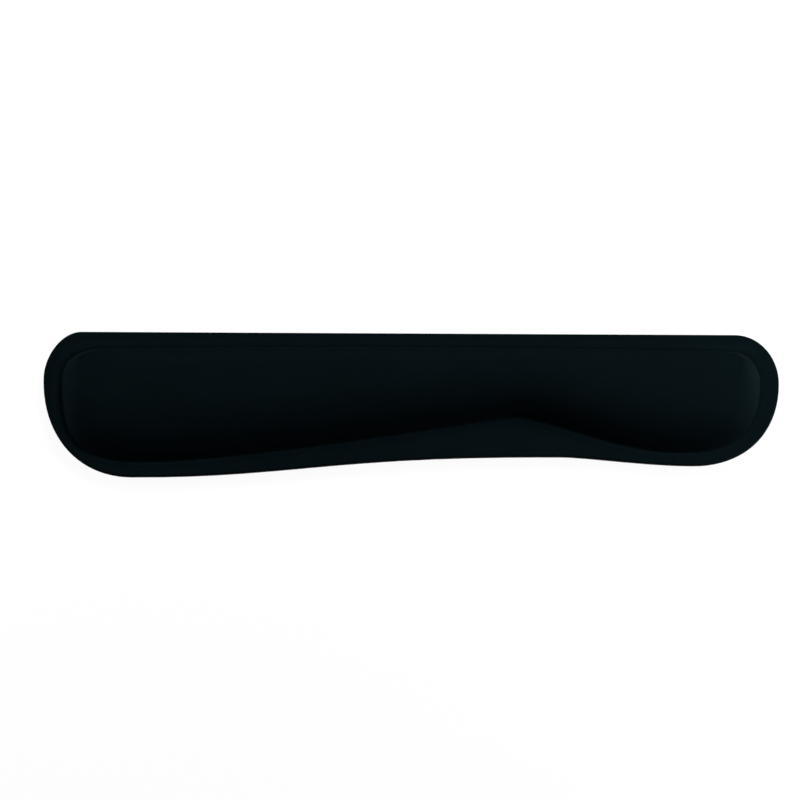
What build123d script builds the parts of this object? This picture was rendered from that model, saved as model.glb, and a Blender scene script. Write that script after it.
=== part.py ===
"""Keyboard wrist rest: a gel pad under a moulded knit cover, on a foam and rubber base.

Frame: X runs along the rest (right end positive), Y runs from the user to the keyboard,
Z is up. The origin is on the underside, in the middle of the outline's box.
In plan, "depth" is measured forward (towards the user) from the straight back edge.
"""
from build123d import *
import math
import os

# ------------------------------------------------------------------ driving sizes, mm
# Die-cut outline, shared by the cover's rim and every flat layer.
base_length = 480.0            # end to end
typing_depth = 96.3            # back edge to the front of the long lobe, on the left
waist_depth = 81.6             # back edge to the front between the lobes
keypad_depth = 87.0            # back edge to the front of the short lobe, on the right
typing_lobe_in = 58.3          # left end to the deepest point of the long lobe
keypad_lobe_in = 56.5          # right end to the deepest point of the short lobe
waist_in = 142.3               # right end to the waist

# Rim: the flat strip between the outline and the foot of the pad.
rim_end = 12.4                 # at both ends
rim_back = 13.2                # behind the pad, at its back corners
rim_back_middle = 11.3         # behind the pad, at mid-length
rim_typing = 10.1              # in front of the long lobe
rim_keypad = 8.6               # in front of the short lobe
rim_waist = 26.5               # the wide shelf in front of the pad's waist
pad_typing_shift = 7.2         # pad's long lobe, along X from the outline's own
pad_waist_shift = -32.0        # pad's waist, along X from the outline's own
pad_keypad_shift = -8.2        # pad's short lobe, along X from the outline's own

# Pad: its height and how far each side rolls over.
pad_height = 16.0              # above the rim
roll_back = 2.5                # short roll, towards the keyboard
roll_end = 13.0                # at both ends
crest_width = 13.0             # level strip left at the pad's waist, behind the front roll
lobe_roll_extra = 10.0         # how much longer the front roll is at the lobes than at the waist
roll_shape = 1.6               # section of a roll: 1 is a quarter ellipse, 2 a parabola
roll_levels = 6                # plan outlines that the roll is lofted through

# Layer thicknesses, bottom to top.
sole_thickness = 1.6
bond_thickness = 0.2
foam_thickness = 2.6
film_thickness = 0.25
cover_thickness = 0.8

# Roundness of the two outlines. Each pair is (long-lobe end, short-lobe end): the run of the
# back corner along the back edge, where of its depth the end reaches furthest out, and the
# fullness of the corners (0.55 is an ellipse, more is squarer). The sways are the reaches of
# the S-curves that join lobe, waist and lobe: leaving the first point, entering the second.
base_roundness = {
    "corner_run": (24.2, 28.3),
    "bulge": (0.33, 0.37),
    "back_fullness": (0.51, 0.55),
    "front_fullness": (0.59, 0.60),
    "sways": ((102.9, 150.6), (17.9, 32.6)),
}
pad_roundness = {
    "corner_run": (22.0, 13.0),
    "bulge": (0.26, 0.28),
    "back_fullness": (0.60, 0.45),
    "front_fullness": (0.77, 0.68),
    "sways": ((65.0, 8.0), (26.3, 42.2)),
}

# ------------------------------------------------------------------ levels and places
overall_depth = max(typing_depth, keypad_depth)
left_end = -base_length / 2
right_end = base_length / 2
typing_x = left_end + typing_lobe_in
waist_x = right_end - waist_in
keypad_x = right_end - keypad_lobe_in

foam_z = sole_thickness + bond_thickness
lower_film_z = foam_z + foam_thickness + bond_thickness
upper_film_z = lower_film_z + film_thickness
cover_z = upper_film_z + film_thickness
rim_z = cover_z + cover_thickness

pad_waist_depth = waist_depth - rim_waist
roll_waist = pad_waist_depth - rim_back_middle - roll_back - crest_width
roll_lobe = roll_waist + lobe_roll_extra


# ------------------------------------------------------------------ plan outlines
def at(x, depth, height):
    """A point given by its place along the rest, its depth from the back edge and its height."""
    return Vector(x, overall_depth / 2 - depth, height)


def rounded(start, corner, end, fullness):
    """A quarter turn from start to end, tangent to both sides of the corner."""
    return Bezier(start, start + (corner - start) * fullness, end + (corner - end) * fullness, end)


def s_curve(start, end, reach):
    """A sway from start to end that leaves and arrives along X."""
    leaving, arriving = reach
    return Bezier(start, start + Vector(leaving, 0, 0), end - Vector(arriving, 0, 0), end)


def plan_face(z, ends, back, back_middle, typing, waist, keypad, roundness):
    """A closed face at height z. Lobes and waist are (place along X, depth)."""
    left, right = ends
    left_run, right_run = roundness["corner_run"]
    left_bulge, right_bulge = roundness["bulge"]
    left_back, right_back = roundness["back_fullness"]
    left_front, right_front = roundness["front_fullness"]
    typing_sway, keypad_sway = roundness["sways"]
    back_left = at(left + left_run, back, z)
    back_centre = at((left + right) / 2, back_middle, z)
    back_right = at(right - right_run, back, z)
    left_tip = at(left, back + left_bulge * (typing[1] - back), z)
    right_tip = at(right, back + right_bulge * (keypad[1] - back), z)
    typing_front = at(*typing, z)
    waist_front = at(*waist, z)
    keypad_front = at(*keypad, z)
    straight = back == back_middle
    back_edge = (Line(back_right, back_left) if straight
                 else ThreePointArc(back_right, back_centre, back_left))
    edges = [
        rounded(back_left, at(left, back, z), left_tip, left_back),
        rounded(left_tip, at(left, typing[1], z), typing_front, left_front),
        s_curve(typing_front, waist_front, typing_sway),
        s_curve(waist_front, keypad_front, keypad_sway),
        rounded(keypad_front, at(right, keypad[1], z), right_tip, right_front),
        rounded(right_tip, at(right, back, z), back_right, right_back),
        back_edge,
    ]
    return Face(Wire(edges))


def base_face(z):
    """The die-cut outline."""
    return plan_face(
        z,
        ends=(left_end, right_end),
        back=0.0,
        back_middle=0.0,
        typing=(typing_x, typing_depth),
        waist=(waist_x, waist_depth),
        keypad=(keypad_x, keypad_depth),
        roundness=base_roundness,
    )


def pad_face(z, in_back, in_end, in_lobe, in_waist):
    """The pad's outline at height z, drawn in from the foot of the pad on each side."""
    return plan_face(
        z,
        ends=(left_end + rim_end + in_end, right_end - rim_end - in_end),
        back=rim_back + in_back,
        back_middle=rim_back_middle + in_back,
        typing=(typing_x + pad_typing_shift, typing_depth - rim_typing - in_lobe),
        waist=(waist_x + pad_waist_shift, pad_waist_depth - in_waist),
        keypad=(keypad_x + pad_keypad_shift, keypad_depth - rim_keypad - in_lobe),
        roundness=pad_roundness,
    )


# ------------------------------------------------------------------ solids
def flat_layer(z, thickness):
    """A sheet of the die-cut outline."""
    return extrude(base_face(z), amount=thickness)


def pad_form(skin, foot_z):
    """Everything under a surface that lies `skin` inside the pad's outer face, down to foot_z.

    Each side rolls over from an upright foot to a level crest, and a nested skin follows the
    same rule with its own height and run, so the skins stay apart all the way up.
    """
    rolls = (roll_back, roll_end, roll_lobe, roll_waist)
    levels = []
    for step in range(roll_levels):
        turn = math.radians(90 * step / (roll_levels - 1))
        drawn_in = [roll - (roll - skin) * math.cos(turn) for roll in rolls]
        levels.append(pad_face(rim_z + (pad_height - skin) * math.sin(turn) ** roll_shape, *drawn_in))
    foot = extrude(pad_face(foot_z, *[skin] * len(rolls)), amount=rim_z - foot_z)
    return foot + loft(levels)


def moulded_skin(z, outer_skin, thickness):
    """A sheet pressed over the pad: its flat rim and its dome in one piece."""
    sheet = flat_layer(z, thickness) + pad_form(outer_skin, z)
    return sheet - pad_form(outer_skin + thickness, z)


def make_sole():
    """Non-slip rubber sheet that meets the desk."""
    return flat_layer(0.0, sole_thickness)


def make_sole_bond():
    """Adhesive film between the rubber and the foam."""
    return flat_layer(sole_thickness, bond_thickness)


def make_base_foam():
    """Foam sheet that keeps the rim flat."""
    return flat_layer(foam_z, foam_thickness)


def make_core_bond():
    """Adhesive film between the foam and the gel pack."""
    return flat_layer(foam_z + foam_thickness, bond_thickness)


def make_lower_film():
    """Flat film that closes the gel pack underneath."""
    return flat_layer(lower_film_z, film_thickness)


def make_gel_core():
    """Gel cast inside the upper film, level with its flat rim underneath."""
    return pad_form(cover_thickness + film_thickness, upper_film_z)


def make_upper_film():
    """Film formed over the gel, bonded to the back of the cover."""
    return moulded_skin(upper_film_z, cover_thickness, film_thickness)


def make_cover():
    """Knit cover: the pad's outer face and the rim."""
    return moulded_skin(cover_z, 0.0, cover_thickness)


pieces = {
    "sole": make_sole(),
    "sole_bond": make_sole_bond(),
    "base_foam": make_base_foam(),
    "core_bond": make_core_bond(),
    "lower_film": make_lower_film(),
    "gel_core": make_gel_core(),
    "upper_film": make_upper_film(),
    "cover": make_cover(),
}

os.makedirs("parts", exist_ok=True)
for name, shape in pieces.items():
    export_step(shape, f"parts/{name}.step")
    box = shape.bounding_box()
    print(f"{name}: {shape.volume / 1000:.1f} cm3, X {box.min.X:.1f}..{box.max.X:.1f}, "
          f"Y {box.min.Y:.1f}..{box.max.Y:.1f}, Z {box.min.Z:.2f}..{box.max.Z:.2f}")
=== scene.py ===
# %% [markdown]
# # A keyboard wrist rest
#
# This object is a long, low pad that lies in front of a keyboard. A black knit cover is pressed in a
# warm mould over a slab of soft gel, and the whole is glued to a foam sheet with a rubber sole. Nothing
# is sewn: the pad, the crease round it and the flat rim are all one moulded skin.
#
# The engineering model gives every layer its place, so the first step loads it as a fixed frame. Each
# visible layer is then rebuilt here with the softness, edges and surfaces that a plain solid lacks.

# %% Load the frame
import math

import bmesh
import bpy
import numpy as np
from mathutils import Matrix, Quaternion, Vector
from mathutils.bvhtree import BVHTree


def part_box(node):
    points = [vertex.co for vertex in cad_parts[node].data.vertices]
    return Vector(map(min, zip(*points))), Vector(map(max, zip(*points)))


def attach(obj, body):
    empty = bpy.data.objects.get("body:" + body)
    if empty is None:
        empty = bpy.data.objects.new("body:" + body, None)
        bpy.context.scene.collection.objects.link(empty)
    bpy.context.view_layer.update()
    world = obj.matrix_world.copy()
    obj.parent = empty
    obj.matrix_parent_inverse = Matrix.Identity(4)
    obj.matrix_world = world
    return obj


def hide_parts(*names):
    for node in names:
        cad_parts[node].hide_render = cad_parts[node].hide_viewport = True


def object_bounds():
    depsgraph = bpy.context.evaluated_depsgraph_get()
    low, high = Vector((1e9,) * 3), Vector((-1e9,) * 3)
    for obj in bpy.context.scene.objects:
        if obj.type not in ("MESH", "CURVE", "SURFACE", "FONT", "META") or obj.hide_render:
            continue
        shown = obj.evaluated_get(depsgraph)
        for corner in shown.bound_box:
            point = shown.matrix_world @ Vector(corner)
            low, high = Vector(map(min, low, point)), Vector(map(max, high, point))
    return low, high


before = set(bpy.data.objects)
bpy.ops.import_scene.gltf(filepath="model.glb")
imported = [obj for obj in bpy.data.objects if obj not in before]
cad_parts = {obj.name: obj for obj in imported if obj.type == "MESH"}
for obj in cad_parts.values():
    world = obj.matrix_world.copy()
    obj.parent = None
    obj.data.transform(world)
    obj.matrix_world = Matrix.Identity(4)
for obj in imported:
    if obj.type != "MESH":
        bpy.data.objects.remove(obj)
cad_low, cad_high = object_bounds()
scene = bpy.context.scene
mm = 0.001
print("frame box", [round(v / mm, 1) for v in (*cad_low, *cad_high)], "mm")

# %% [markdown]
# ## The camera
#
# The rest is looked at from the user's side, almost from above, through a long lens, so that the back
# edge stays straight and the two ends keep their true sizes. Two things set such a camera: how steeply
# it looks down, and how much of the picture the object fills. The distance follows from the lens, and
# the aim is moved a little off the object's middle, which keeps the lens free of any shift.

# %% Camera
look_down = math.radians(76.8)
picture_roll = math.radians(0.29)
share_of_width = 0.9215
off_right = 0.0139
off_down = 0.0040
lens_mm = 250.0
sensor_mm = 36.0

field = (cad_high.x - cad_low.x) / share_of_width
distance = field * lens_mm / sensor_mm
backwards = Vector((0, -math.cos(look_down), math.sin(look_down)))
upwards = Vector((0, math.sin(look_down), math.cos(look_down)))
middle = (cad_low + cad_high) / 2
aim = middle - Vector((1, 0, 0)) * off_right * field + upwards * off_down * field


def show(name, data):
    """An object in the scene that holds this camera, mesh or lamp."""
    shown = bpy.data.objects.new(name, data)
    scene.collection.objects.link(shown)
    return shown


camera = show("camera", bpy.data.cameras.new("camera"))
camera.data.lens = lens_mm
camera.data.sensor_width = sensor_mm
camera.data.clip_end = 20.0
camera.location = aim + backwards * distance
camera.rotation_mode = "QUATERNION"
camera.rotation_quaternion = (-backwards).to_track_quat("-Z", "Y")
camera.rotation_quaternion.rotate(Quaternion(backwards, picture_roll))
scene.camera = camera
print(f"camera {distance:.2f} m away, field {field / mm:.0f} mm wide")

# %% [markdown]
# ## Where the layers lie
#
# Every height comes from the boxes of the engineering model's nodes. A skin's thickness is the
# difference between its top and the top of what it covers.

# %% Levels of the layers
low = {name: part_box(name)[0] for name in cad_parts}
high = {name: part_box(name)[1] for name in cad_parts}
cover_thickness = high["cover"].z - high["upper_film"].z
film_thickness = high["upper_film"].z - high["gel_core"].z
rim_top = low["cover"].z + cover_thickness
pad_top = high["cover"].z
pad_height = pad_top - rim_top
print(f"rim top {rim_top / mm:.2f} mm, pad {pad_height / mm:.2f} mm above it")

# %% [markdown]
# ## The three lines that give the plan
#
# Seen from above, three closed lines describe the whole object: the die-cut outline, the foot of the
# pad, and the edge of its level top. The model's cover already holds them, as the borders of its flat
# upward faces. Reading them there keeps one source for the shape. In a list of faces, an edge inside a
# flat region is walked once in each direction, so the edges whose reverse is missing are its border.

# %% Read the borders of the cover's flat faces
level_normal = 0.999
height_slack = 0.01 * mm


def flat_borders(node, height):
    """Closed borders of a node's upward faces at one height, each an array of plan points."""
    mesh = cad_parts[node].data
    edges = set()
    for face in mesh.polygons:
        if face.normal.z < level_normal or abs(face.center.z - height) > height_slack:
            continue
        corners = [mesh.vertices[v].co for v in face.vertices]
        corners = [(round(c.x, 6), round(c.y, 6)) for c in corners]
        for edge in zip(corners, corners[1:] + corners[:1]):
            if edge[::-1] in edges:
                edges.discard(edge[::-1])
            else:
                edges.add(edge)
    following = dict(edges)
    borders = []
    while following:
        first = point = next(iter(sorted(following)))
        border = []
        while point in following:
            border.append(point)
            point = following.pop(point)
        if point == first:
            borders.append(np.array(border))
    return sorted(borders, key=lambda border: -np.ptp(border[:, 0]))


outline_rough, foot_rough = flat_borders("cover", rim_top)[:2]
crest_rough = flat_borders("cover", pad_top)[0]
print("border points", len(outline_rough), len(foot_rough), len(crest_rough))

# %% [markdown]
# The borders are polygons with uneven steps, and a cut edge made from them would show its corners. A
# smooth closed curve through the same points puts the roundness back. Long straight steps are divided
# first, so that the curve cannot bow out along them.
#
# The three lines also have to match point for point, because rings of faces will join them. Seven
# landmarks are easy to find on each: the two tips, the fronts of the two lobes, the waist between them
# and the two back corners. Between landmarks, the same number of even steps on every line makes the
# match. Front and back halves have the same number of points, so that rungs can join them later.

# %% Smooth the borders and match them point for point
longest_step = 4 * mm
points_per_step = 8
front_counts = {"typing_corner": 72, "typing_sway": 196, "keypad_sway": 90, "keypad_corner": 62}
back_counts = {"keypad_back_corner": 40, "back_edge": 336, "typing_back_corner": 44}
stretch_counts = [*front_counts.values(), *back_counts.values()]
loop_count = sum(stretch_counts)


def smooth_closed(points):
    """A dense closed curve through the points, counterclockwise from its left tip."""
    divided = []
    for start, end in zip(points, np.roll(points, -1, axis=0)):
        pieces = max(1, math.ceil(np.linalg.norm(end - start) / longest_step))
        divided += [start + (end - start) * k / pieces for k in range(pieces)]
    p1 = np.array(divided)
    p0, p2, p3 = np.roll(p1, 1, axis=0), np.roll(p1, -1, axis=0), np.roll(p1, -2, axis=0)
    fine = []
    for t in np.linspace(0, 1, points_per_step, endpoint=False):
        fine.append(0.5 * (2 * p1 + (p2 - p0) * t + (2 * p0 - 5 * p1 + 4 * p2 - p3) * t**2
                           + (3 * p1 - p0 - 3 * p2 + p3) * t**3))
    curve = np.stack(fine, axis=1).reshape(-1, 2)
    x, y = curve.T
    if np.sum(x * np.roll(y, -1) - y * np.roll(x, -1)) < 0:
        curve = curve[::-1]
    return np.roll(curve, -int(np.argmin(curve[:, 0])), axis=0)


def landmarks(curve):
    """Indices of the tips, lobes, waist and back corners along the curve, from the left tip round."""
    x, y = curve.T
    right_tip = int(np.argmax(x))
    front_x, front_y = x[:right_tip], y[:right_tip]
    typing = int(np.argmin(np.where(front_x < 0, front_y, np.inf)))
    keypad = int(np.argmin(np.where(front_x > x.max() / 4, front_y, np.inf)))
    waist = typing + int(np.argmax(front_y[typing:keypad]))
    back_right, back_left = int(np.argmax(y + x)), int(np.argmax(y - x))
    return [0, typing, waist, keypad, right_tip, back_right, back_left, len(curve)]


def matched_loop(points):
    """The border as loop_count points, with the landmarks at the same numbers on every loop."""
    curve = smooth_closed(points)
    closed = np.vstack([curve, curve[:1]])
    marks = landmarks(curve)
    loop = []
    for start, end, count in zip(marks, marks[1:], stretch_counts):
        part = closed[start:end + 1]
        along = np.r_[0, np.cumsum(np.linalg.norm(np.diff(part, axis=0), axis=1))]
        wanted = np.linspace(0, along[-1], count, endpoint=False)
        loop.append(np.c_[np.interp(wanted, along, part[:, 0]), np.interp(wanted, along, part[:, 1])])
    return np.vstack(loop)


outline = matched_loop(outline_rough)
foot = matched_loop(foot_rough)
crest = matched_loop(crest_rough)
steps = np.linalg.norm(np.diff(outline, axis=0), axis=1) / mm
print(f"{loop_count} points on each line, {steps.min():.2f} to {steps.max():.2f} mm apart")

# %% [markdown]
# ## Building with rings
#
# A moulded skin is easiest to build as rings of points: each ring follows one of the plan lines at its
# own height, and neighbouring rings are joined by four-sided faces. Such a mesh has its rows running
# along the crease and its columns running up the pad, which is how the real skin stretches, so it
# shades smoothly and can be shaped ring by ring. A level end is closed by rungs across the pad, from
# the front half of the ring to its back half.

# %% Rings, rungs and closed meshes
def ring_at(plan, height):
    """A ring of points from plan points and one height."""
    return np.c_[plan, np.full(len(plan), height)]


def rungs_across(ring, rows):
    """Points that close a ring: for each front point, `rows` - 1 points on the way to the back."""
    half = len(ring) // 2
    front = ring[1:half]
    back = ring[:half:-1]
    shares = np.arange(1, rows)[None, :, None] / rows
    return (front[:, None, :] * (1 - shares) + back[:, None, :] * shares).reshape(-1, 3)


def cap_faces(count, first, first_rung, rows):
    """Upward faces over a ring of `count` points from vertex `first`, with rungs from `first_rung`."""
    half = count // 2

    def vertex(column, row):
        if row == 0:
            return first + column
        if row == rows:
            return first + count - column
        return first_rung + (column - 1) * (rows - 1) + row - 1

    faces = []
    for row in range(rows):
        faces.append((first, vertex(1, row), vertex(1, row + 1)))
        for column in range(1, half - 1):
            faces.append((vertex(column, row), vertex(column + 1, row),
                          vertex(column + 1, row + 1), vertex(column, row + 1)))
        faces.append((vertex(half - 1, row), first + half, vertex(half - 1, row + 1)))
    return faces


def ring_geometry(rings, rows, lower_cap=True):
    """Points and faces of a form whose rings run from its upper cap, out and round, to its lower cap."""
    count = len(rings[0])
    points = [np.vstack(rings)]
    faces = []
    for level in range(len(rings) - 1):
        upper, lower = level * count, (level + 1) * count
        for i in range(count):
            j = (i + 1) % count
            faces.append((upper + i, lower + i, lower + j, upper + j))
    total = len(rings) * count
    points.append(rungs_across(rings[0], rows))
    faces += cap_faces(count, 0, total, rows)
    if lower_cap:
        points.append(rungs_across(rings[-1], rows))
        downward = cap_faces(count, total - count, total + len(points[1]), rows)
        faces += [face[::-1] for face in downward]
    return np.vstack(points), faces


def new_piece(name, points, faces):
    """A smooth-shaded piece from points and faces."""
    mesh = bpy.data.meshes.new(name)
    mesh.from_pydata(points.tolist(), [], faces)
    mesh.shade_smooth()
    return show(name, mesh)


# %% [markdown]
# ## How the pad rolls over
#
# Each side of the pad rises from an upright foot to a level crest. Its section lies between a quarter
# ellipse and a parabola: the ring at any point of the turn lies between the foot line and the crest line
# by one minus the cosine, and its height is the sine raised to a power. A power of one is the ellipse,
# which stays flat too long; two is the parabola, which meets the rim at a slant. A skin that lies deeper
# starts further in and ends lower, so the same rule gives every nested layer without gap or overlap.

# %% Rings of the rolled sides
roll_shape = 1.6


def outward_normals(loop):
    """Unit vectors in plan that point out of the loop, one for each of its points."""
    along = np.roll(loop, -1, axis=0) - np.roll(loop, 1, axis=0)
    along /= np.linalg.norm(along, axis=1, keepdims=True)
    return np.c_[along[:, 1], -along[:, 0]]


foot_outward = outward_normals(foot)
outline_outward = outward_normals(outline)


def outline_in(inset):
    """The outline drawn in by `inset` millimetres."""
    return outline - outline_outward * inset * mm


def roll_rings(skin, turns, every=1):
    """Rings at the given turns, for the surface `skin` under the outer face, from every n-th point."""
    start = (foot - foot_outward * skin)[::every]
    end = crest[::every]
    rings = []
    for turn in turns:
        plan = start + (end - start) * (1 - math.cos(turn))
        rings.append(ring_at(plan, rim_top + (pad_height - skin) * math.sin(turn) ** roll_shape))
    return rings


def foot_ring(skin, height, every=1):
    """The foot line of the surface `skin` under the outer face, at a height of its own."""
    return ring_at((foot - foot_outward * skin)[::every], height)


roll_widths = np.linalg.norm(crest - foot, axis=1) / mm
print(f"the sides roll over within {roll_widths.min():.1f} to {roll_widths.max():.1f} mm")

# %% [markdown]
# ## Swelling the gel
#
# The real pad is not level on top. Gel is poured into a stretched film, and its pressure crowns the
# surface. The crown could be modelled by hand, but a short cloth simulation finds it by itself: a coarse
# blank of the gel is given the skin's stiffness, an inside pressure and no gravity, and its foot is
# pinned. Twenty frames are enough for it to settle. Only the rise of its top is kept, with a limit, as a
# height that depends on the place in plan. Every layer can then be lifted by the same amount, so the
# layers stay nested however much the gel swells.

# %% Simulate a coarse blank of the gel
gel_skin = cover_thickness + film_thickness
blank_every = 4
blank_turns = 9
blank_rows = 6
swell_pressure = 1.6
swell_frames = 20
pinned_height = 0.1 * mm


def gel_blank():
    """A coarse closed form of the gel, for the simulation."""
    turns = np.linspace(math.pi / 2, 0, blank_turns)
    rings = roll_rings(gel_skin, turns, blank_every)
    rings.append(foot_ring(gel_skin, low["gel_core"].z, blank_every))
    return new_piece("gel_blank", *ring_geometry(rings, blank_rows))


def surface_of(piece):
    """The evaluated surface of a piece, ready to be asked where a ray meets it."""
    return BVHTree.FromObject(piece, bpy.context.evaluated_depsgraph_get())


def smooth_twice(piece):
    """Two levels of subdivision, so that the coarse form has a smooth surface to measure."""
    piece.modifiers.new("smooth", "SUBSURF").levels = 2
    bpy.context.view_layer.update()


def inflate(piece):
    """Blow the piece up like cloth with its foot pinned, and keep the result as its mesh."""
    pinned = piece.vertex_groups.new(name="pinned")
    foot_points = [v.index for v in piece.data.vertices if v.co.z < rim_top + pinned_height]
    pinned.add(foot_points, 1.0, "REPLACE")
    cloth = piece.modifiers.new("swell", "CLOTH").settings
    cloth.vertex_group_mass = "pinned"
    cloth.use_pressure = True
    cloth.uniform_pressure_force = swell_pressure
    cloth.effector_weights.gravity = 0
    for frame_number in range(1, swell_frames + 1):
        scene.frame_set(frame_number)
    settled = piece.evaluated_get(bpy.context.evaluated_depsgraph_get())
    mesh = bpy.data.meshes.new_from_object(settled)
    piece.modifiers.clear()
    piece.data = mesh
    scene.frame_set(1)


level_blank = gel_blank()
swollen_blank = gel_blank()
inflate(swollen_blank)
smooth_twice(level_blank)
smooth_twice(swollen_blank)
level_surface = surface_of(level_blank)
swollen_surface = surface_of(swollen_blank)
print("blank of the gel:", len(swollen_blank.data.vertices), "points, swollen for", swell_frames, "frames")
for piece in (level_blank, swollen_blank):
    bpy.data.objects.remove(piece)

# %% Lift points by the swelling
steady_share = 0.5
free_share = 0.97
rise_limit = 1.8 * mm
lift_height = 1 * mm
above = pad_top + 30 * mm


def height_under(surface, x, y):
    """Height of the surface at a place in plan, or None beside it."""
    hit = surface.ray_cast(Vector((x, y, above)), Vector((0, 0, -1)))[0]
    return hit.z if hit else None


def rise_at(x, y):
    """How far the swelling lifts whatever lies at this place. The lower half of a side stays put."""
    level = height_under(level_surface, x, y)
    swollen = height_under(swollen_surface, x, y)
    if level is None or swollen is None:
        return 0.0
    share = (level - rim_top) / (pad_height - gel_skin)
    ease = min(1.0, max(0.0, (share - steady_share) / (free_share - steady_share)))
    ease = ease * ease * (3 - 2 * ease)
    rise = max(0.0, swollen - level) * ease
    return rise_limit * math.tanh(rise / rise_limit)


def lifted(points):
    """The points, with those above the rim raised by the swelling under them."""
    points = points.copy()
    for i in np.flatnonzero(points[:, 2] > rim_top + lift_height):
        points[i, 2] += rise_at(points[i, 0], points[i, 1])
    return points


crown_samples = [rise_at(x * mm, y * mm) / mm for x, y in ((-160, 10), (-60, 12), (66, 22), (170, 15))]
print("crown at four places, mm:", [round(rise, 2) for rise in crown_samples])

# %% [markdown]
# ## The knit cover
#
# The cover is one sheet of knit, 0.8 mm thick, that runs from the crown down the rolled sides, through
# the pressed crease and out over the rim to its cut edge, and back along its underside. The crease is
# the sharpest thing on the object, so it gets rings of its own, set by a short list: how far out from
# the foot line each lies, how far above the rim, and how much painted shade (minus) or painted highlight
# (plus) goes on the cloth's colour there. The mould presses a groove beside the pad and leaves a faint
# bead outside it. Behind the pad and round its left end the groove is twice as wide, and at the right
# end it is faint. The list for the cut edge rounds its upper corner, as a pressed edge is.

# %% Profiles of the crease and the cut edge
# The third number of each entry is painted shade (minus) or painted highlight (plus) on the cloth's
# colour.
crease_profile = [(0.03, 0.50, -0.45), (0.10, 0.15, -0.45), (0.24, -0.14, -0.40), (0.45, -0.30, -0.30),
                  (0.80, -0.31, -0.15), (1.20, -0.19, 0.05), (1.65, -0.01, 0.25), (2.15, 0.16, 0.30),
                  (2.75, 0.22, 0.22), (3.40, 0.10, 0.10), (4.40, 0.0, 0.0)]
cut_profile = [(0.9, 0.0), (0.42, -0.02), (0.16, -0.10), (0.03, -0.26), (0.0, -0.50), (0.04, -0.72)]
lowest_ring = 0.8 * mm
lowest_turn = math.asin((lowest_ring / pad_height) ** (1 / roll_shape))
faint_end = 0.7
across_rim = (outline - foot) / np.linalg.norm(outline - foot, axis=1, keepdims=True)
slant = np.sum(across_rim * foot_outward, axis=1)


def facing(x, y, width=1.0):
    """How much each point of the foot line faces one way in plan, eased between zero and one.

    A `width` over one lets the points round the corners count in full as well.
    """
    share = np.clip(width * foot_outward @ np.array([x, y]), 0, 1)
    return share**2 * (3 - 2 * share)


facing_back = facing(0, 1)
facing_front = facing(0, -1)
crease_spread = 1 + np.maximum(facing_back, facing(-1, 0))
crease_press = 1 - faint_end * facing(1, 0)


def crease_line(out):
    """Plan points `out` millimetres from the foot, in the groove's own width."""
    return foot + across_rim * (crease_spread * out * mm / slant)[:, None]


def crease_rings():
    """Rings through the pressed groove and its bead, outwards from the foot."""
    return [np.c_[crease_line(out), rim_top + crease_press * up * mm]
            for out, up, shade in crease_profile]


def rim_rings(count):
    """Flat rings between the bead and the cut edge."""
    inner = crease_line(crease_profile[-1][0])
    outer = outline_in(cut_profile[0][0])
    shares = np.arange(1, count + 1) / (count + 1)
    return [ring_at(inner + (outer - inner) * share, rim_top) for share in shares]


def cut_rings(top, profile):
    """Rings round a cut edge: (inset from the outline, height above `top`), in millimetres."""
    return [ring_at(outline_in(inset), top + up * mm) for inset, up in profile]


crease_depths = crease_press * max(-up for out, up, shade in crease_profile)
print(f"groove beside the pad {crease_depths.min():.2f} to {crease_depths.max():.2f} mm deep")

# %% Build the cover
cover_turns = np.linspace(math.pi / 2, lowest_turn, 30)
inner_turns = np.linspace(0, math.pi / 2, 10)
cover_rows = 12
rim_ring_count = 4
bottom_inset = 0.12

cover_bottom = ring_at(outline_in(bottom_inset), low["cover"].z)
outer_rings = roll_rings(0.0, cover_turns) + crease_rings() + rim_rings(rim_ring_count)
outer_rings += cut_rings(rim_top, cut_profile)
inner_rings = [cover_bottom, foot_ring(cover_thickness, low["cover"].z)]
inner_rings += roll_rings(cover_thickness, inner_turns)
points, faces = ring_geometry(outer_rings + inner_rings, cover_rows)
knit_cover = new_piece("knit_cover", lifted(points), faces)
print(f"knit cover: {len(faces)} faces, {len(outer_rings)} rings outside")

# %% [markdown]
# The cloth's colour also carries painted light. In the groove, up the steep wall behind and low on the
# front roll it is painted darker, as painted shade; on the bead it is painted lighter, as a painted
# highlight. A pattern of noise would not know where those places are, but the rings do. So each vertex
# gets a number, minus for painted shade and plus for painted highlight, stored in the mesh as an
# attribute that the finish reads later.

# %% Write the painted shade and highlight into the mesh
# Painted shade up the steep wall behind the pad and low on the front roll, as a share of the cloth's
# colour.
painted_wall_shade = -0.38
painted_roll_shade = -0.55
wall_fade = 0.9
roll_fade = 0.35
wall_reach = 1.7


def painted_light_per_vertex():
    """Painted highlight (+) or painted shade (-) on the cloth's colour at every vertex of the cover."""
    painted_light_values = np.zeros(len(knit_cover.data.vertices))
    steep_side = facing(0, 1, width=wall_reach)
    for level, turn in enumerate(cover_turns):
        low_share = math.cos(turn)
        wall = painted_wall_shade * steep_side * min(1.0, low_share / (1 - wall_fade))
        roll = painted_roll_shade * facing_front * max(0.0, (low_share - roll_fade) / (1 - roll_fade))
        painted_light_values[level * loop_count:(level + 1) * loop_count] = np.minimum(wall, roll)
    # The crease's rings take their painted shade or painted highlight from the profile.
    for level, (out, up, shade) in enumerate(crease_profile, start=len(cover_turns)):
        painted_light_values[level * loop_count:(level + 1) * loop_count] = shade * crease_press
    return painted_light_values


painted_light_values = painted_light_per_vertex()
# The knit's finish multiplies its colour by one plus this painted shade or painted highlight.
painted_light = knit_cover.data.attributes.new("painted_light", "FLOAT", "POINT")
painted_light.data.foreach_set("value", painted_light_values)
print(f"cloth from {100 * painted_light_values.min():.0f}% to {100 * painted_light_values.max():+.0f}% of its own lightness")

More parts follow.
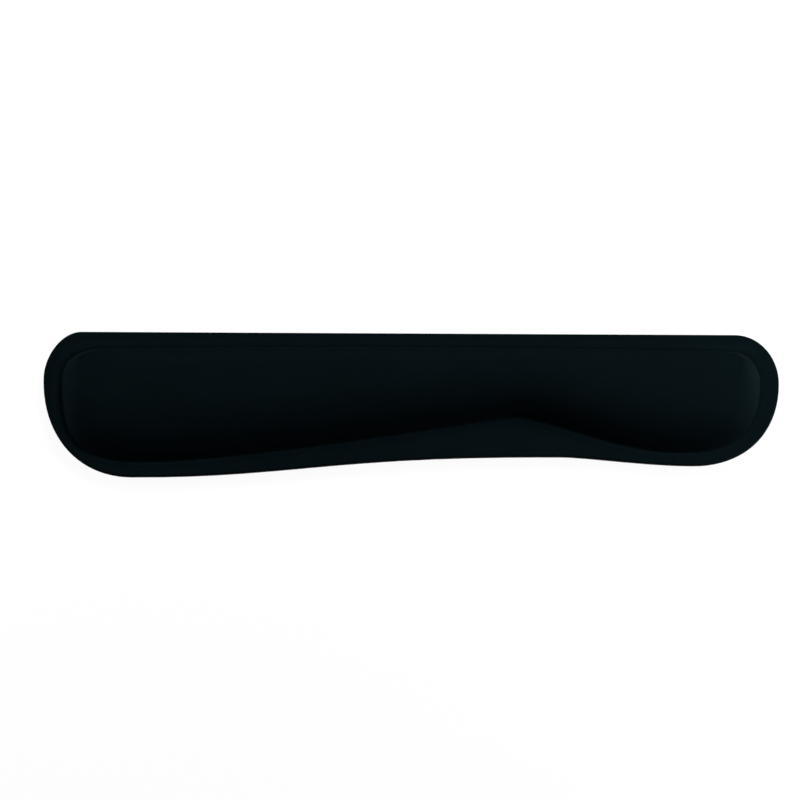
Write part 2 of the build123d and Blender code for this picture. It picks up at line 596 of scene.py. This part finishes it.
# %% [markdown]
# ## The film and the gel under it
#
# Under the knit lies a thin film, moulded with it, and under the film the gel. Their surfaces repeat
# the cover's own underside ring for ring, only turned over, so each pair meets exactly. They are hidden
# in use, but the part comes apart into its layers, and a gel pad that fills its film is what gives the
# cover its form.

# %% Build the upper film and the gel pad
layer_turns = inner_turns[::-1]
film_inset = 0.10

film_rings = roll_rings(cover_thickness, layer_turns) + [foot_ring(cover_thickness, low["cover"].z)]
film_rings += [ring_at(outline_in(film_inset), height) for height in (low["cover"].z, low["upper_film"].z)]
film_rings += [foot_ring(gel_skin, low["upper_film"].z)] + roll_rings(gel_skin, inner_turns)
points, faces = ring_geometry(film_rings, cover_rows)
upper_film = new_piece("upper_gel_film", lifted(points), faces)

gel_rings = roll_rings(gel_skin, layer_turns) + [foot_ring(gel_skin, low["gel_core"].z)]
points, faces = ring_geometry(gel_rings, cover_rows)
gel_pad = new_piece("gel_pad", lifted(points), faces)
print(f"gel pad: {len(faces)} faces, crown at {max(v.co.z for v in gel_pad.data.vertices) / mm:.1f} mm")

# %% [markdown]
# ## The flat layers
#
# Foam, adhesive and film are flat sheets that one die cuts together with the cover. A knife leaves each
# with its own edge: foam springs out a little between its neighbours, glue stays back, film is square.
# So one function makes a sheet from the outline, and a list of (inset, depth) pairs gives it its edge.

# %% Die-cut sheets
sheet_edges = {
    "lower_film": [(film_inset, 0.0), (film_inset, 1.0)],
    "core_bond": [(0.16, 0.0), (0.24, 0.5), (0.16, 1.0)],
    "base_foam": [(0.10, 0.0), (-0.03, 0.10), (-0.11, 0.30), (-0.13, 0.55), (-0.08, 0.80), (0.06, 1.0)],
    "sole_bond": [(0.16, 0.0), (0.24, 0.5), (0.16, 1.0)],
}
piece_names = {"lower_film": "lower_gel_film", "core_bond": "core_glue_film",
               "base_foam": "foam_base", "sole_bond": "sole_glue_film"}


def edge_rings(node, edge):
    """Rings down the cut edge of a flat layer."""
    thickness = high[node].z - low[node].z
    return [ring_at(outline_in(inset), high[node].z - thickness * depth) for inset, depth in edge]


flat_sheets = {}
for node, edge in sheet_edges.items():
    points, faces = ring_geometry(edge_rings(node, edge), rows=2)
    flat_sheets[node] = new_piece(piece_names[node], points, faces)
print("flat sheets:", sorted(flat_sheets))

# %% [markdown]
# ## The rubber sole
#
# What stops the rest from sliding is its rubber sole, moulded with a lattice of fine grooves: the
# lands between them grip, and dust has somewhere to go. The grooves are real geometry, because they
# show as soon as the rest is turned over. Their lattice is turned by 45 degrees, and every land is a
# small square with V-grooves round it. Squares that would come too near the outline are left out, so a
# plain border stays, and the border's flat face is filled between the lattice and the outline.

# %% Groove lattice
land_pitch = 4.0 * mm
groove_width = 1.2 * mm
groove_depth = 0.3 * mm
lines_per_land = 3
plain_border = 3.5 * mm
sole_edge = [(0.05, 0.0), (0.0, 0.15), (0.0, 0.75), (0.10, 0.93), (0.28, 1.0)]


def inside_outline(points, margin):
    """Which plan points lie inside the outline and at least `margin` from it."""
    x, y = points[:, 0:1], points[:, 1:2]
    ax, ay = outline.T
    bx, by = np.roll(outline, -1, axis=0).T
    crosses = (ay > y) != (by > y)
    rise = np.where(by == ay, 1.0, by - ay)
    left_of = x < ax + (y - ay) * (bx - ax) / rise
    inside = np.sum(crosses & left_of, axis=1) % 2 == 1
    nearest = np.sqrt(np.min((x - ax) ** 2 + (y - ay) ** 2, axis=1))
    return inside & (nearest > margin)


def lattice_cells():
    """Pairs of whole numbers, one for each land that keeps clear of the outline."""
    reach = int((cad_high.x - cad_low.x) / land_pitch)
    numbers = np.arange(-reach, reach + 1)
    i, j = (grid.ravel() for grid in np.meshgrid(numbers, numbers, indexing="ij"))
    u, v = (i + 0.5) * land_pitch, (j + 0.5) * land_pitch
    centres = np.c_[u - v, u + v] / math.sqrt(2)
    near = np.abs(centres[:, 1]) < (cad_high.y - cad_low.y) / 2
    i, j, centres = i[near], j[near], centres[near]
    kept = inside_outline(centres, plain_border + land_pitch / math.sqrt(2))
    return set(zip(i[kept].tolist(), j[kept].tolist()))


def line_place(line):
    """Place of a lattice line: three to a pitch, the groove's middle and both sides of the land."""
    whole, part = divmod(line, lines_per_land)
    return whole * land_pitch + (0.0, groove_width / 2, land_pitch - groove_width / 2)[part]


def in_groove(line):
    """Whether a lattice line runs along the middle of a groove."""
    return line % lines_per_land == 0


def touching_cells(lines):
    """Cells that share the point where two lattice lines cross."""
    beside = []
    for line in lines:
        cell = line // lines_per_land
        beside.append((cell - 1, cell) if in_groove(line) else (cell,))
    return [(i, j) for i in beside[0] for j in beside[1]]


def lattice_point(lines, cells):
    """The point where two lattice lines cross, sunk if it lies in a groove inside the lattice."""
    u, v = (line_place(line) for line in lines)
    sunk = any(map(in_groove, lines)) and cells.issuperset(touching_cells(lines))
    return ((u - v) / math.sqrt(2), (u + v) / math.sqrt(2), groove_depth if sunk else 0.0)


lands = lattice_cells()
print(len(lands), "lands on the sole")

# %% Build the sole
sharp_groove = math.radians(20)


def add_lattice(bm, cells):
    """Faces of the grooved field, facing down."""
    made = {}
    for i, j in sorted(cells):
        for a in range(lines_per_land * i, lines_per_land * (i + 1)):
            for b in range(lines_per_land * j, lines_per_land * (j + 1)):
                corners = []
                for lines in ((a, b), (a, b + 1), (a + 1, b + 1), (a + 1, b)):
                    if lines not in made:
                        made[lines] = bm.verts.new(lattice_point(lines, cells))
                    corners.append(made[lines])
                bm.faces.new(corners)


def make_sole():
    """The sole: ring-built top and edge, grooved field below and a plain border between them."""
    points, faces = ring_geometry(edge_rings("sole", sole_edge), rows=2, lower_cap=False)
    bm = bmesh.new()
    verts = [bm.verts.new(point) for point in points]
    for face in faces:
        bm.faces.new([verts[v] for v in face])
    add_lattice(bm, lands)
    border = [edge for edge in bm.edges if edge.is_boundary]
    bmesh.ops.triangle_fill(bm, use_beauty=True, use_dissolve=False, edges=border, normal=(0, 0, -1))
    bmesh.ops.recalc_face_normals(bm, faces=bm.faces)
    mesh = bpy.data.meshes.new("rubber_sole")
    bm.to_mesh(mesh)
    bm.free()
    mesh.shade_smooth()
    mesh.set_sharp_from_angle(angle=sharp_groove)
    return show("rubber_sole", mesh)


rubber_sole = make_sole()
print("sole faces:", len(rubber_sole.data.polygons))

# %% [markdown]
# ## Finishes
#
# A finish is a shader: a network of nodes that says, for each place on a surface, what colour it has,
# how rough it is and which way its fine relief leans. Two small helpers keep the networks readable:
# one adds a node with its inputs named, the other adds one step of arithmetic.

# %% Node helpers
def add(tree, kind, settings=None, **inputs):
    """A node of this kind. Inputs are given by name, as numbers or as sockets to link."""
    node = tree.nodes.new(kind)
    for name, value in (settings or {}).items():
        setattr(node, name, value)
    for name, value in inputs.items():
        socket = node.inputs[name.replace("_", " ")]
        if isinstance(value, bpy.types.NodeSocket):
            tree.links.new(value, socket)
        else:
            socket.default_value = value
    return node


def maths(tree, operation, *values):
    """One step of arithmetic on numbers or sockets."""
    node = tree.nodes.new("ShaderNodeMath")
    node.operation = operation
    for socket, value in zip(node.inputs, values):
        if isinstance(value, bpy.types.NodeSocket):
            tree.links.new(value, socket)
        else:
            socket.default_value = value
    return node.outputs[0]


def new_group(name, inputs, outputs):
    """An empty node group with named sockets, and its input and output nodes."""
    tree = bpy.data.node_groups.new(name, "ShaderNodeTree")
    for label, kind, value in inputs:
        socket = tree.interface.new_socket(label, in_out="INPUT", socket_type=kind)
        if value is not None:
            socket.default_value = value
    for label, kind in outputs:
        tree.interface.new_socket(label, in_out="OUTPUT", socket_type=kind)
    return tree, tree.nodes.new("NodeGroupInput").outputs, tree.nodes.new("NodeGroupOutput")


def place_group(tree, group, **inputs):
    """A copy of a group inside a material, with its own values."""
    return add(tree, "ShaderNodeGroup", {"node_tree": group}, **inputs).outputs


# %% [markdown]
# ## Effects that several finishes share
#
# Four effects turn up on more than one of the layers, so each is made once as a node group:
#
# - the knit itself, whose loops show on the cover's face and, flattened, on its glued back;
# - a soft mottle, because no dyed or cast surface has quite one colour;
# - a fine grain for rubber, film and glue;
# - lint, the few pale specks and short fibres that every black surface picks up.
#
# A plain knit is built from loops that stand in columns, called wales. Seen from the front, each loop
# is a V with two legs. In numbers: fold every wale about its middle, slide the rows along by how far
# the place is from that middle, and the straight rows turn into Vs. A rounded profile along and across
# each leg gives the height.

# %% Knit loops as a node group
def make_knit_group():
    """Height of a plain knit: V-shaped loops in columns."""
    tree, given, result = new_group(
        "knit loops",
        [("Vector", "NodeSocketVector", None), ("Wale pitch", "NodeSocketFloat", 0.0006),
         ("Course pitch", "NodeSocketFloat", 0.0005), ("Slant", "NodeSocketFloat", 0.6),
         ("Unevenness", "NodeSocketFloat", 0.15)],
        [("Height", "NodeSocketFloat"), ("Gap", "NodeSocketFloat")])
    drift = add(tree, "ShaderNodeTexNoise", Vector=given["Vector"], Scale=220.0, Detail=1.0)
    apart = add(tree, "ShaderNodeSeparateXYZ", Vector=given["Vector"])
    wander = maths(tree, "MULTIPLY", maths(tree, "SUBTRACT", drift.outputs["Fac"], 0.5),
                   given["Unevenness"])
    wale = maths(tree, "ADD", maths(tree, "DIVIDE", apart.outputs["X"], given["Wale pitch"]), wander)
    course = maths(tree, "ADD", maths(tree, "DIVIDE", apart.outputs["Y"], given["Course pitch"]), wander)
    folded = maths(tree, "MULTIPLY",
                   maths(tree, "ABSOLUTE", maths(tree, "SUBTRACT", maths(tree, "FRACT", wale), 0.5)), 2.0)
    slanted = maths(tree, "MULTIPLY", folded, given["Slant"])
    slid = maths(tree, "FRACT", maths(tree, "ADD", course, slanted))
    along = maths(tree, "SINE", maths(tree, "MULTIPLY", slid, math.pi))
    across = maths(tree, "SINE", maths(tree, "MULTIPLY", folded, math.pi))
    height = maths(tree, "SQRT", maths(tree, "MAXIMUM", maths(tree, "MULTIPLY", along, across), 0.0))
    gap = maths(tree, "SUBTRACT", 1.0, height)
    tree.links.new(height, result.inputs["Height"])
    tree.links.new(maths(tree, "POWER", gap, 3.0), result.inputs["Gap"])
    return tree


knit_loops = make_knit_group()
print("knit loops:", len(knit_loops.nodes), "nodes")

# %% Mottle, grain and lint as node groups
speck_radius = 0.018
fibre_curl = 0.0012


def make_mottle_group():
    """A slow change from place to place, centred on one, for colour or roughness."""
    tree, given, result = new_group(
        "soft mottle",
        [("Vector", "NodeSocketVector", None), ("Patch size", "NodeSocketFloat", 0.03),
         ("Strength", "NodeSocketFloat", 0.1)],
        [("Factor", "NodeSocketFloat")])
    scale = maths(tree, "DIVIDE", 1.0, given["Patch size"])
    noise = add(tree, "ShaderNodeTexNoise", Vector=given["Vector"], Scale=scale, Detail=3.0)
    swing = maths(tree, "MULTIPLY", maths(tree, "SUBTRACT", noise.outputs["Fac"], 0.5), given["Strength"])
    tree.links.new(maths(tree, "ADD", 1.0, maths(tree, "MULTIPLY", swing, 2.0)), result.inputs["Factor"])
    return tree


def make_grain_group():
    """Fine relief of a cast or calendered surface, as a height between zero and one."""
    tree, given, result = new_group(
        "fine grain",
        [("Vector", "NodeSocketVector", None), ("Grain size", "NodeSocketFloat", 0.0004),
         ("Pits", "NodeSocketFloat", 0.3)],
        [("Height", "NodeSocketFloat")])
    scale = maths(tree, "DIVIDE", 1.0, given["Grain size"])
    noise = add(tree, "ShaderNodeTexNoise", Vector=given["Vector"], Scale=scale, Detail=4.0)
    cells = add(tree, "ShaderNodeTexVoronoi", Vector=given["Vector"], Scale=scale)
    pits = maths(tree, "MULTIPLY", maths(tree, "SUBTRACT", 1.0, cells.outputs["Distance"]), given["Pits"])
    tree.links.new(maths(tree, "SUBTRACT", noise.outputs["Fac"], pits), result.inputs["Height"])
    return tree


def make_lint_group():
    """A mask of sparse specks and short curled fibres."""
    tree, given, result = new_group(
        "lint",
        [("Vector", "NodeSocketVector", None), ("Spacing", "NodeSocketFloat", 0.012),
         ("Amount", "NodeSocketFloat", 0.3)],
        [("Mask", "NodeSocketFloat")])
    scale = maths(tree, "DIVIDE", 1.0, given["Spacing"])
    curl = add(tree, "ShaderNodeTexNoise", Vector=given["Vector"], Scale=300.0, Detail=1.0)
    bent = add(tree, "ShaderNodeVectorMath", {"operation": "MULTIPLY_ADD"})
    tree.links.new(curl.outputs["Color"], bent.inputs[0])
    bent.inputs[1].default_value = (fibre_curl, fibre_curl, fibre_curl)
    tree.links.new(given["Vector"], bent.inputs[2])
    specks = add(tree, "ShaderNodeTexVoronoi", Vector=bent.outputs[0], Scale=scale)
    chosen = add(tree, "ShaderNodeSeparateColor", Color=specks.outputs["Color"])
    near = maths(tree, "LESS_THAN", specks.outputs["Distance"], speck_radius)
    lucky = maths(tree, "LESS_THAN", chosen.outputs["Red"], given["Amount"])
    tree.links.new(maths(tree, "MULTIPLY", near, lucky), result.inputs["Mask"])
    return tree


soft_mottle = make_mottle_group()
fine_grain = make_grain_group()
lint = make_lint_group()
print("node groups:", [group.name for group in bpy.data.node_groups])

# %% A new material with its surface shader
lint_grey = (0.05, 0.055, 0.06, 1.0)


def new_finish(name):
    """A material and its tree, its surface shader and the object's own coordinates."""
    material = bpy.data.materials.new(name)
    material.use_nodes = True
    tree = material.node_tree
    shader = tree.nodes["Principled BSDF"]
    place = add(tree, "ShaderNodeTexCoord").outputs["Object"]
    return material, tree, shader, place


def tinted(tree, colour, factor):
    """A colour times a factor that changes over the surface."""
    return add(tree, "ShaderNodeVectorMath", {"operation": "SCALE"}, Vector=colour[:3],
               Scale=factor).outputs[0]


def linted(tree, colour, specks):
    """A colour with pale lint lying on it."""
    mix = add(tree, "ShaderNodeMix", {"data_type": "RGBA"})
    tree.links.new(specks["Mask"], mix.inputs["Factor"])
    tree.links.new(colour, mix.inputs["A"])
    mix.inputs["B"].default_value = lint_grey
    return mix.outputs["Result"]


def finish(tree, shader, colour, roughness, height, depth, **constants):
    """Feed the shader what changes over the surface, and set what does not on its own sockets.

    The height is a relief between zero and one, `depth` metres deep.
    """
    tree.links.new(colour, shader.inputs["Base Color"])
    tree.links.new(roughness, shader.inputs["Roughness"])
    bump = add(tree, "ShaderNodeBump", Height=height, Distance=depth, Strength=1.0)
    tree.links.new(bump.outputs["Normal"], shader.inputs["Normal"])
    for name, value in constants.items():
        shader.inputs[name.replace("_", " ")].default_value = value


# %% [markdown]
# ## The knit
#
# The cover is dyed nearly black with a cool cast. Black cloth is mostly light that does not come back,
# so its base colour is very dark, its plain reflection is turned down, and a weak sheen stands for the
# fine fibres that catch light along the far edge and round the ends. The loops are seen from close by
# only: a relief a tenth of a millimetre deep, with painted shade in the gaps. Flat coordinates seen from
# above are right for it, because the cloth was flat when it was laid over the mould, and stretched down
# the sides. The painted shade and painted highlight stored on the cover's vertices scale the colour too.

# %% Knit finishes
wale_pitch = 0.62 * mm
course_pitch = 0.50 * mm
knit_black = (0.0038, 0.0098, 0.0125)
loop_face = 1.15
gap_shade = 0.6
paler_back = 2.5
paler_edge = 1.3


def knit_finish(name, colour, loop_depth, sheen):
    """Dyed knit: loops with painted shade in their gaps, a slow mottle, a little lint, and the painted
    shade and highlight read from the mesh.
    """
    material, tree, shader, place = new_finish(name)
    loops = place_group(tree, knit_loops, Vector=place, Wale_pitch=wale_pitch, Course_pitch=course_pitch)
    mottle = place_group(tree, soft_mottle, Vector=place, Patch_size=0.035, Strength=0.18)
    specks = place_group(tree, lint, Vector=place, Spacing=0.014, Amount=0.25)
    # The gaps between the loops are painted darker: painted shade in the recesses.
    shade = maths(tree, "MULTIPLY", mottle["Factor"],
                  maths(tree, "SUBTRACT", loop_face, maths(tree, "MULTIPLY", loops["Gap"], gap_shade)))
    # Painted shade and painted highlight from the mesh attribute scale the colour.
    painted_light = add(tree, "ShaderNodeAttribute", {"attribute_name": "painted_light"}).outputs["Fac"]
    shade = maths(tree, "MULTIPLY", shade, maths(tree, "ADD", 1.0, painted_light))
    rough = maths(tree, "MINIMUM", maths(tree, "MULTIPLY", mottle["Factor"], 0.9), 1.0)
    finish(tree, shader, linted(tree, tinted(tree, colour, shade), specks), rough,
           loops["Height"], loop_depth, Specular_IOR_Level=0.01, Sheen_Weight=sheen,
           Sheen_Roughness=0.45, Sheen_Tint=(0.55, 0.85, 1.0, 1.0))
    return material


knit_face = knit_finish("black knit", knit_black, 0.10 * mm, 0.035)
knit_back = knit_finish("knit back", tuple(paler_back * c for c in knit_black), 0.04 * mm, 0.0)


def make_cut_knit():
    """The knit's cut edge: pressed fibre ends, a little paler than its face."""
    material, tree, shader, place = new_finish("cut knit edge")
    grain = place_group(tree, fine_grain, Vector=place, Grain_size=0.00025, Pits=0.5)
    mottle = place_group(tree, soft_mottle, Vector=place, Patch_size=0.004, Strength=0.5)
    colour = tinted(tree, tuple(paler_edge * c for c in knit_black), mottle["Factor"])
    rough = maths(tree, "MULTIPLY_ADD", grain["Height"], 0.2, 0.8)
    finish(tree, shader, colour, rough, grain["Height"], 0.15 * mm, Specular_IOR_Level=0.04)
    return material


cut_knit = make_cut_knit()
print("knit finishes:", knit_face.name, "/", knit_back.name, "/", cut_knit.name)

# %% [markdown]
# ## Foam, rubber, film, glue and gel
#
# The hidden layers matter when the rest is seen from the side, turned over or taken apart. Closed-cell
# foam shows cut bubbles along its edge, with painted shade in their hollows. Rubber is smooth and a
# little greasy, with dust in its grooves.
# The films are thin and smoky, the glue is a dull line, and the gel is a clear body with a blue cast.

# %% Finishes of the hidden layers
bubble_size = 0.35 * mm


def make_foam():
    """Black closed-cell foam with cut bubbles, painted darker in their hollows as painted shade."""
    material, tree, shader, place = new_finish("black cell foam")
    mottle = place_group(tree, soft_mottle, Vector=place, Patch_size=0.006, Strength=0.35)
    cells = add(tree, "ShaderNodeTexVoronoi", Vector=place, Scale=1 / bubble_size)
    bowl = maths(tree, "MINIMUM", maths(tree, "MULTIPLY", cells.outputs["Distance"], 1.6), 1.0)
    # The colour is painted darker towards the middle of each bubble: painted shade in the hollow.
    shade = maths(tree, "MULTIPLY", mottle["Factor"], maths(tree, "MULTIPLY_ADD", bowl, 0.7, 0.4))
    colour = tinted(tree, (0.011, 0.012, 0.013), shade)
    rough = maths(tree, "MULTIPLY_ADD", bowl, 0.15, 0.75)
    finish(tree, shader, colour, rough, bowl, 0.2 * mm, Specular_IOR_Level=0.15)
    return material


def make_rubber():
    """Black rubber: fine skin, faint dust in patches and a few specks."""
    material, tree, shader, place = new_finish("black sole rubber")
    grain = place_group(tree, fine_grain, Vector=place, Grain_size=0.0003, Pits=0.3)
    mottle = place_group(tree, soft_mottle, Vector=place, Patch_size=0.02, Strength=0.3)
    specks = place_group(tree, lint, Vector=place, Spacing=0.009, Amount=0.35)
    colour = linted(tree, tinted(tree, (0.014, 0.0145, 0.015), mottle["Factor"]), specks)
    rough = maths(tree, "MULTIPLY", mottle["Factor"], 0.62)
    finish(tree, shader, colour, rough, grain["Height"], 0.03 * mm, Specular_IOR_Level=0.3)
    return material


def smooth_layer(name, colour, roughness, specular, transmission, grain_depth):
    """Film, glue or gel: one body colour that drifts a little, and a fine skin."""
    material, tree, shader, place = new_finish(name)
    grain = place_group(tree, fine_grain, Vector=place, Grain_size=0.0008, Pits=0.1)
    mottle = place_group(tree, soft_mottle, Vector=place, Patch_size=0.025, Strength=0.12)
    rough = maths(tree, "MULTIPLY", mottle["Factor"], roughness)
    finish(tree, shader, tinted(tree, colour, mottle["Factor"]), rough, grain["Height"], grain_depth,
           Specular_IOR_Level=specular, Transmission_Weight=transmission)
    return material


foam = make_foam()
rubber = make_rubber()
film = smooth_layer("smoky film", (0.045, 0.050, 0.052), 0.35, 0.4, 0.3, 0.01 * mm)
glue = smooth_layer("melted glue", (0.030, 0.028, 0.024), 0.6, 0.3, 0.0, 0.03 * mm)
gel = smooth_layer("soft gel", (0.42, 0.60, 0.66), 0.12, 0.5, 0.7, 0.02 * mm)
print("finishes of the layers:", [material.name for material in (foam, rubber, film, glue, gel)])

# %% [markdown]
# ## Dressing the pieces
#
# The cover needs three of these finishes: the face above, the cut edge, and the back that meets the
# film. Its faces were made ring by ring, so a face's number tells which stretch it belongs to.

# %% Give every piece its finish
def dress(piece, *materials):
    """Put materials on a piece, the first on every face."""
    for material in materials:
        piece.data.materials.append(material)


dress(knit_cover, knit_face, cut_knit, knit_back)
first_cut = (len(outer_rings) - len(cut_profile) + 1) * loop_count
first_back = len(outer_rings) * loop_count
ring_faces = (len(outer_rings) + len(inner_rings) - 1) * loop_count
cap_face_count = len(cap_faces(loop_count, 0, 0, cover_rows))
slots = np.zeros(len(knit_cover.data.polygons), dtype=np.int32)
slots[first_cut:first_back] = 1
slots[first_back:ring_faces] = 2
slots[ring_faces + cap_face_count:] = 2
knit_cover.data.polygons.foreach_set("material_index", slots)

dress(upper_film, film)
dress(gel_pad, gel)
dress(rubber_sole, rubber)
sheet_finishes = {"lower_film": film, "core_bond": glue, "base_foam": foam, "sole_bond": glue}
for node, material in sheet_finishes.items():
    dress(flat_sheets[node], material)
print("cover faces by finish:", np.bincount(slots).tolist())

# %% [markdown]
# ## Floor and light
#
# The rest is shown on a pale floor in soft light. The floor is there for the camera only: other light
# passes through it, because a white floor would throw light back up the front of the pad, which in the
# real setting falls away to black. A softbox stands behind the object and to its right, well above it.
# Two more stand low beside the ends. So the ends and the level top catch light, while the long
# front roll turns away from all three. A fourth lamp, below the floor, only matters when the rest is
# looked at from underneath. A lamp is placed by its direction, its height and its distance, as it would
# be set up in a studio.

# %% Floor
floor_size = 6.0
floor_glow = 0.94
floor_paint = 0.15
floor_gap = 0.1 * mm


def make_floor():
    """A pale floor that the camera sees and other light ignores."""
    mesh = bpy.data.meshes.new("floor")
    half = floor_size / 2
    corners = [(-half, -half, 0), (half, -half, 0), (half, half, 0), (-half, half, 0)]
    mesh.from_pydata(corners, [], [(0, 1, 2, 3)])
    floor = show("floor", mesh)
    floor.location.z = -floor_gap
    material = bpy.data.materials.new("pale floor")
    material.use_nodes = True
    tree = material.node_tree
    tree.nodes.remove(tree.nodes["Principled BSDF"])
    paint = add(tree, "ShaderNodeBsdfDiffuse", Color=(floor_paint, floor_paint, floor_paint, 1))
    glow = add(tree, "ShaderNodeEmission", Color=(1, 1, 1, 1), Strength=floor_glow)
    pale = add(tree, "ShaderNodeAddShader")
    tree.links.new(paint.outputs[0], pale.inputs[0])
    tree.links.new(glow.outputs[0], pale.inputs[1])
    seen = add(tree, "ShaderNodeLightPath").outputs["Is Camera Ray"]
    below = add(tree, "ShaderNodeNewGeometry").outputs["Backfacing"]
    shown = maths(tree, "MULTIPLY", seen, maths(tree, "SUBTRACT", 1.0, below))
    mix = add(tree, "ShaderNodeMixShader", Fac=shown)
    tree.links.new(add(tree, "ShaderNodeBsdfTransparent").outputs[0], mix.inputs[1])
    tree.links.new(pale.outputs[0], mix.inputs[2])
    tree.links.new(mix.outputs[0], tree.nodes["Material Output"].inputs["Surface"])
    mesh.materials.append(material)
    return floor


floor = make_floor()
print(f"floor {floor_size:.0f} m wide, {floor_gap / mm:.1f} mm under the sole")

# %% Lamps and backdrop
backdrop_glow = 0.945
room_light = 0.005


def softbox(name, direction, elevation, away, size, power):
    """A square lamp aimed at the object's middle. Directions turn from +X towards +Y, in degrees."""
    turn, rise = math.radians(direction), math.radians(elevation)
    towards = Vector((math.cos(rise) * math.cos(turn), math.cos(rise) * math.sin(turn), math.sin(rise)))
    light = bpy.data.lights.new(name, "AREA")
    light.shape = "SQUARE"
    light.size = size
    light.energy = power
    lamp = show(name, light)
    lamp.location = middle + towards * away
    lamp.rotation_mode = "QUATERNION"
    lamp.rotation_quaternion = (-towards).to_track_quat("-Z", "Y")
    lamp.visible_camera = False
    print(f"{name} lamp: {power} W from {[round(v, 2) for v in lamp.location]}")


softbox("key", direction=78, elevation=37, away=1.0, size=0.32, power=4.35)
softbox("right_side", direction=0, elevation=15, away=0.75, size=0.4, power=3.4)
softbox("left_side", direction=170, elevation=13, away=0.75, size=0.4, power=1.8)
softbox("under", direction=270, elevation=-90, away=2.5, size=0.09, power=45)

world = bpy.data.worlds.new("studio")
scene.world = world
world.use_nodes = True
backdrop = world.node_tree.nodes["Background"]
backdrop.inputs["Color"].default_value = (0.95, 0.97, 1.0, 1.0)
seen = add(world.node_tree, "ShaderNodeLightPath").outputs["Is Camera Ray"]
strength = maths(world.node_tree, "MULTIPLY_ADD", seen, backdrop_glow, room_light)
world.node_tree.links.new(strength, backdrop.inputs["Strength"])
scene.view_settings.view_transform = "Standard"

# %% [markdown]
# ## Joining the pieces to the frame
#
# Each piece rides on the model's one body and stands for the plain solid of its layer, which is hidden.

declared = [
    (knit_cover, "cover", "knit_cover"),
    (upper_film, "upper_film", "gel_film"),
    (gel_pad, "gel_core", "gel"),
    (flat_sheets["lower_film"], "lower_film", "gel_film"),
    (flat_sheets["core_bond"], "core_bond", "bond_film"),
    (flat_sheets["base_foam"], "base_foam", "base_foam"),
    (flat_sheets["sole_bond"], "sole_bond", "bond_film"),
    (rubber_sole, "sole", "sole_rubber"),
]
for piece, node, slot in declared:
    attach(piece, "root")
    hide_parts(node)
print(len(declared), "pieces declared, two of them padded")

# %% Update the scene
bpy.context.view_layer.update()
